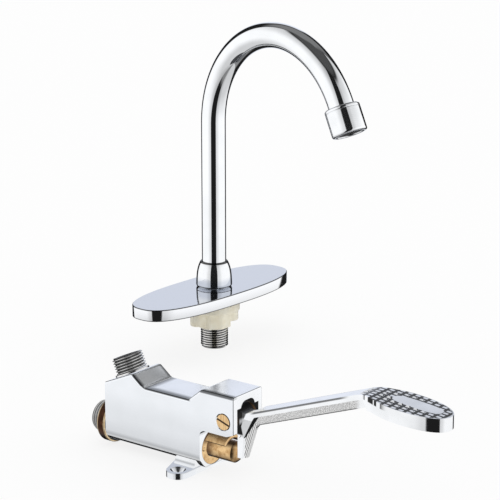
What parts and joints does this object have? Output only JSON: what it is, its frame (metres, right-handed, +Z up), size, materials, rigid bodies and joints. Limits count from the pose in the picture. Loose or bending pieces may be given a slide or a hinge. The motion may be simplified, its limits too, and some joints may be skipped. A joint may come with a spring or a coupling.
{
  "type": "pedal-operated cold water tap with swivel gooseneck spout",
  "caption": "Foot-pedal cold water tap: floor valve with a studded pedal lever, and a separate swivelling gooseneck spout on an oval deck plate.",
  "frame": {"origin": "on the floor, midway between the two foot screws of the valve", "axes": "+X along the valve to the pedal, +Z up, +Y across to the spout unit that stands beside it"},
  "size_m": [0.3671, 0.3094, 0.2571],
  "materials": {
    "chrome": "polished",
    "brass": "turned",
    "steel": "satin",
    "dark_rubber": "matt",
    "ivory_plastic": "moulded",
    "grey_plastic": "moulded"
  },
  "bodies": {
    "frame": {"valve_body": "chrome", "inlet_union": "brass", "inlet_filter": "steel", "inlet_gasket": "dark_rubber", "outlet_nipple": "chrome", "gland_nut": "brass", "plunger_guide": "brass", "guide_o_rings": "dark_rubber", "pivot_screw": "brass", "pivot_washers": "brass", "return_spring": "steel", "valve_seat": "brass", "deck_plate": "chrome", "deck_gasket": "dark_rubber", "spigot": "chrome", "spout_o_rings": "dark_rubber", "bell_collar": "chrome", "clamp_washer": "steel", "clamp_seal": "dark_rubber", "wing_nut": "ivory_plastic"},
    "pedal": {"pedal_lever": "chrome", "pivot_bush": "brass"},
    "plunger_set": {"plunger": "brass", "valve_stem": "brass", "valve_disc": "brass", "disc_seal": "dark_rubber", "plunger_o_rings": "dark_rubber"},
    "spout": {"spout_tube": "chrome", "retaining_clip": "brass", "tube_end_bush": "brass", "aerator_housing": "chrome", "aerator_insert": "grey_plastic", "aerator_screen": "steel", "aerator_washer": "dark_rubber"}
  },
  "joints": [
    {"name": "pedal_pivot", "type": "hinge", "parent": "frame", "child": "pedal", "pos_m": [0.0304, 0, 0.0404], "axis": [0, 1, 0], "range_deg": [0, 12], "stiffness_Nm_per_rad": 4, "springref_deg": -5.73},
    {"name": "plunger_slide", "type": "slide", "parent": "frame", "child": "plunger_set", "axis": [-1, 0, 0], "range_m": [0, 0.0056], "deforming": ["return_spring"]},
    {"name": "spout_swivel", "type": "hinge", "parent": "frame", "child": "spout", "pos_m": [-0.1514, 0.2044, 0.0473], "axis": [0, 0, 1], "continuous": true}
  ],
  "couplings": [
    {"joint": "plunger_slide", "follows": "pedal_pivot", "m_per_rad": 0.024828}
  ]
}
